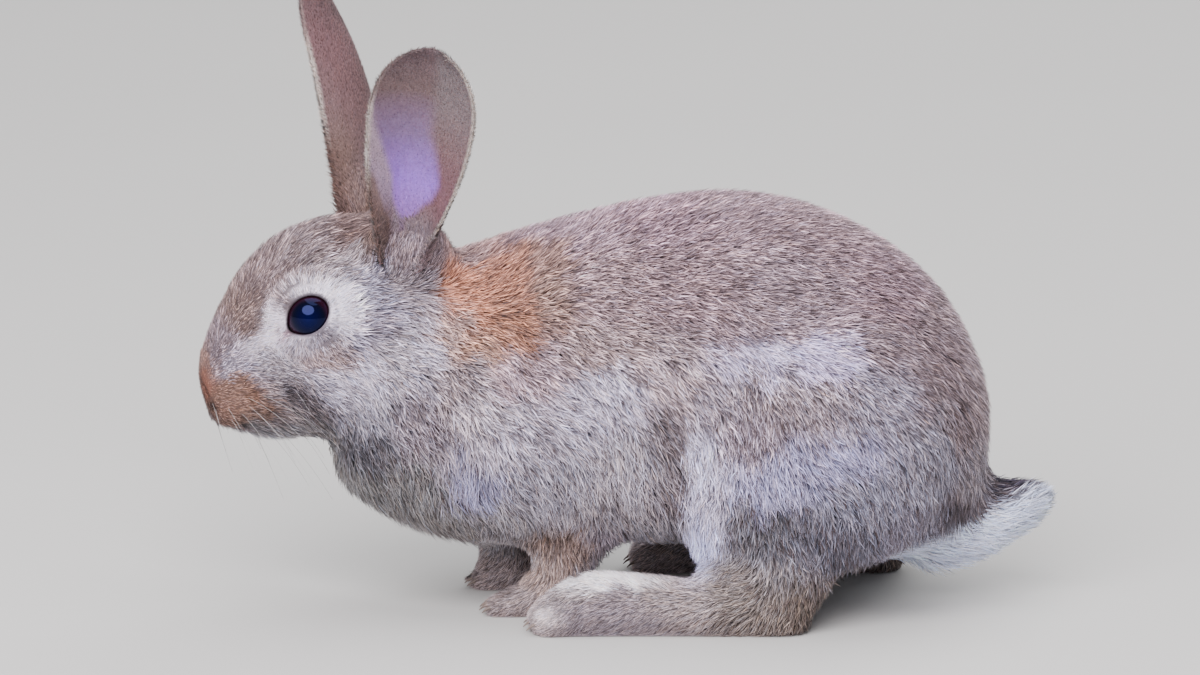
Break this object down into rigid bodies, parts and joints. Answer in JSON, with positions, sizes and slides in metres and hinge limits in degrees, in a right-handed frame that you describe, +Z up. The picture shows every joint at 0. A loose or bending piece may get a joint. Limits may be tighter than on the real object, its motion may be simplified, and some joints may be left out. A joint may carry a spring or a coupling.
{
  "type": "rabbit",
  "caption": "Young wild rabbit crouching on its feet with ears raised and tail out behind, a still life-size model.",
  "frame": {"origin": "middle of the footprint, on the floor under the belly", "axes": "+Z up; the rabbit faces -X, so +X runs from nose to tail; its left side is -Y and its right side is +Y"},
  "size_m": [0.2562, 0.102, 0.1833],
  "materials": {
    "agouti_fur": "grey-brown fur with dark and pale ticking",
    "grey_fur": "silvery grey fur",
    "buff_fur": "short buff and cream fur",
    "white_fur": "long white fur",
    "ear_skin": "thin skin with very short fur",
    "cornea": "wet and glossy"
  },
  "bodies": {
    "root": {"head": "agouti_fur", "neck": "agouti_fur", "trunk": "agouti_fur", "haunch_left": "grey_fur", "haunch_right": "grey_fur", "foreleg_left": "buff_fur", "foreleg_right": "buff_fur", "forefoot_left": "buff_fur", "forefoot_right": "buff_fur", "hind_foot_left": "buff_fur", "hind_foot_right": "buff_fur", "tail": "white_fur", "ear_left": "ear_skin", "ear_right": "ear_skin", "eye_left": "cornea", "eye_right": "cornea"}
  },
  "joints": []
}
